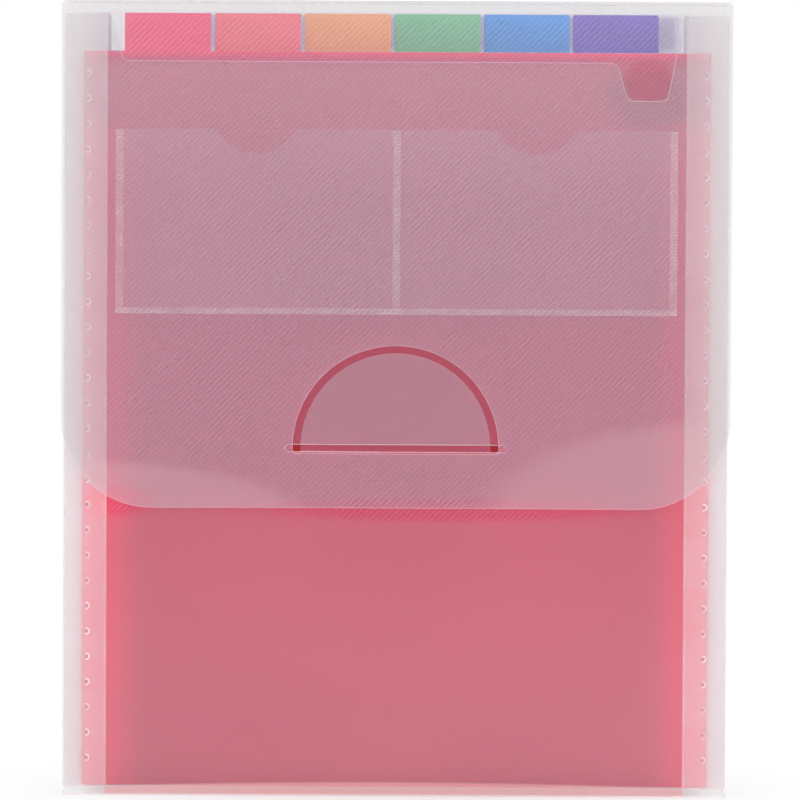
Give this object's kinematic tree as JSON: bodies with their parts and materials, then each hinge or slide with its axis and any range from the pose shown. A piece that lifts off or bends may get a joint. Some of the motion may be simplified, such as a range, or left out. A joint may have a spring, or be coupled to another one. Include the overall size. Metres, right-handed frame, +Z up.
{
  "type": "expanding file folder",
  "caption": "Upright translucent plastic expanding file with coloured tab dividers, pleated side gussets, card pockets and a flap closed by a tuck-in half-moon tongue.",
  "frame": {"origin": "on the surface it stands on, under the middle of the closed file", "axes": "+Z up towards the top panel, -Y out of the front, +X to the right seen from the front"},
  "size_m": [0.264, 0.0422, 0.314],
  "materials": {
    "case_sheet": "frosted, fine diagonal emboss",
    "gusset_film": "frosted film",
    "card_film": "clear film",
    "weld": "ribbed heat weld",
    "red_sheet": "translucent sheet",
    "coral_sheet": "translucent sheet",
    "orange_sheet": "translucent sheet",
    "green_sheet": "translucent sheet",
    "blue_sheet": "translucent sheet",
    "purple_sheet": "translucent sheet"
  },
  "bodies": {
    "case_back": {"back_panel": "case_sheet", "bottom_panel": "case_sheet", "back_flange_left": "gusset_film", "back_flange_right": "gusset_film", "pleat_left_7": "gusset_film", "pleat_right_7": "gusset_film"},
    "purple_divider": {"divider_purple": "purple_sheet", "pleat_left_6": "gusset_film", "pleat_right_6": "gusset_film"},
    "blue_divider": {"divider_blue": "blue_sheet", "pleat_left_5": "gusset_film", "pleat_right_5": "gusset_film"},
    "green_divider": {"divider_green": "green_sheet", "pleat_left_4": "gusset_film", "pleat_right_4": "gusset_film"},
    "orange_divider": {"divider_orange": "orange_sheet", "pleat_left_3": "gusset_film", "pleat_right_3": "gusset_film"},
    "coral_divider": {"divider_coral": "coral_sheet", "pleat_left_2": "gusset_film", "pleat_right_2": "gusset_film"},
    "red_divider": {"divider_red": "red_sheet", "pleat_left_1": "gusset_film", "pleat_right_1": "gusset_film"},
    "case_front": {"front_panel": "case_sheet", "card_pocket_film": "card_film", "card_pocket_welds": "weld", "front_flange_left": "gusset_film", "front_flange_right": "gusset_film"},
    "case_top": {"top_panel": "case_sheet"},
    "case_flap": {"flap": "case_sheet"},
    "tuck_tongue": {"closure_tongue": "case_sheet"}
  },
  "joints": [
    {"name": "top_crease", "type": "hinge", "parent": "case_back", "child": "case_top", "pos_m": [0, 0.0207, 0.3136], "axis": [-1, 0, 0], "range_deg": [0, 200]},
    {"name": "flap_crease", "type": "hinge", "parent": "case_top", "child": "case_flap", "pos_m": [0, -0.0207, 0.3136], "axis": [-1, 0, 0], "range_deg": [0, 150], "deforming": ["closure_tongue"]},
    {"name": "tongue_bend", "type": "hinge", "parent": "case_flap", "child": "tuck_tongue", "pos_m": [0, -0.01744, 0.13643], "axis": [1, 0, 0], "range_deg": [0, 4.5]},
    {"name": "pocket_7_fan", "type": "hinge", "parent": "case_back", "child": "purple_divider", "pos_m": [0, -0.0157, 0.0004], "axis": [1, 0, 0], "range_deg": [0, 2], "deforming": ["pleat_left_7", "pleat_right_7"]},
    {"name": "pocket_6_fan", "type": "hinge", "parent": "purple_divider", "child": "blue_divider", "pos_m": [0, -0.0157, 0.0004], "axis": [1, 0, 0], "range_deg": [0, 2], "deforming": ["pleat_left_6", "pleat_right_6"]},
    {"name": "pocket_5_fan", "type": "hinge", "parent": "blue_divider", "child": "green_divider", "pos_m": [0, -0.0157, 0.0004], "axis": [1, 0, 0], "range_deg": [0, 2], "deforming": ["pleat_left_5", "pleat_right_5"]},
    {"name": "pocket_4_fan", "type": "hinge", "parent": "green_divider", "child": "orange_divider", "pos_m": [0, -0.0157, 0.0004], "axis": [1, 0, 0], "range_deg": [0, 2], "deforming": ["pleat_left_4", "pleat_right_4"]},
    {"name": "pocket_3_fan", "type": "hinge", "parent": "orange_divider", "child": "coral_divider", "pos_m": [0, -0.0157, 0.0004], "axis": [1, 0, 0], "range_deg": [0, 2], "deforming": ["pleat_left_3", "pleat_right_3"]},
    {"name": "pocket_2_fan", "type": "hinge", "parent": "coral_divider", "child": "red_divider", "pos_m": [0, -0.0157, 0.0004], "axis": [1, 0, 0], "range_deg": [0, 2], "deforming": ["pleat_left_2", "pleat_right_2"]},
    {"name": "pocket_1_fan", "type": "hinge", "parent": "red_divider", "child": "case_front", "pos_m": [0, -0.0157, 0.0004], "axis": [1, 0, 0], "range_deg": [0, 2], "deforming": ["pleat_left_1", "pleat_right_1"]}
  ],
  "couplings": [
    {"joint": "tongue_bend", "follows": "flap_crease", "ratio": 0.03},
    {"joint": "pocket_7_fan", "follows": "top_crease", "ratio": 0.01},
    {"joint": "pocket_6_fan", "follows": "top_crease", "ratio": 0.01},
    {"joint": "pocket_5_fan", "follows": "top_crease", "ratio": 0.01},
    {"joint": "pocket_4_fan", "follows": "top_crease", "ratio": 0.01},
    {"joint": "pocket_3_fan", "follows": "top_crease", "ratio": 0.01},
    {"joint": "pocket_2_fan", "follows": "top_crease", "ratio": 0.01},
    {"joint": "pocket_1_fan", "follows": "top_crease", "ratio": 0.01}
  ]
}
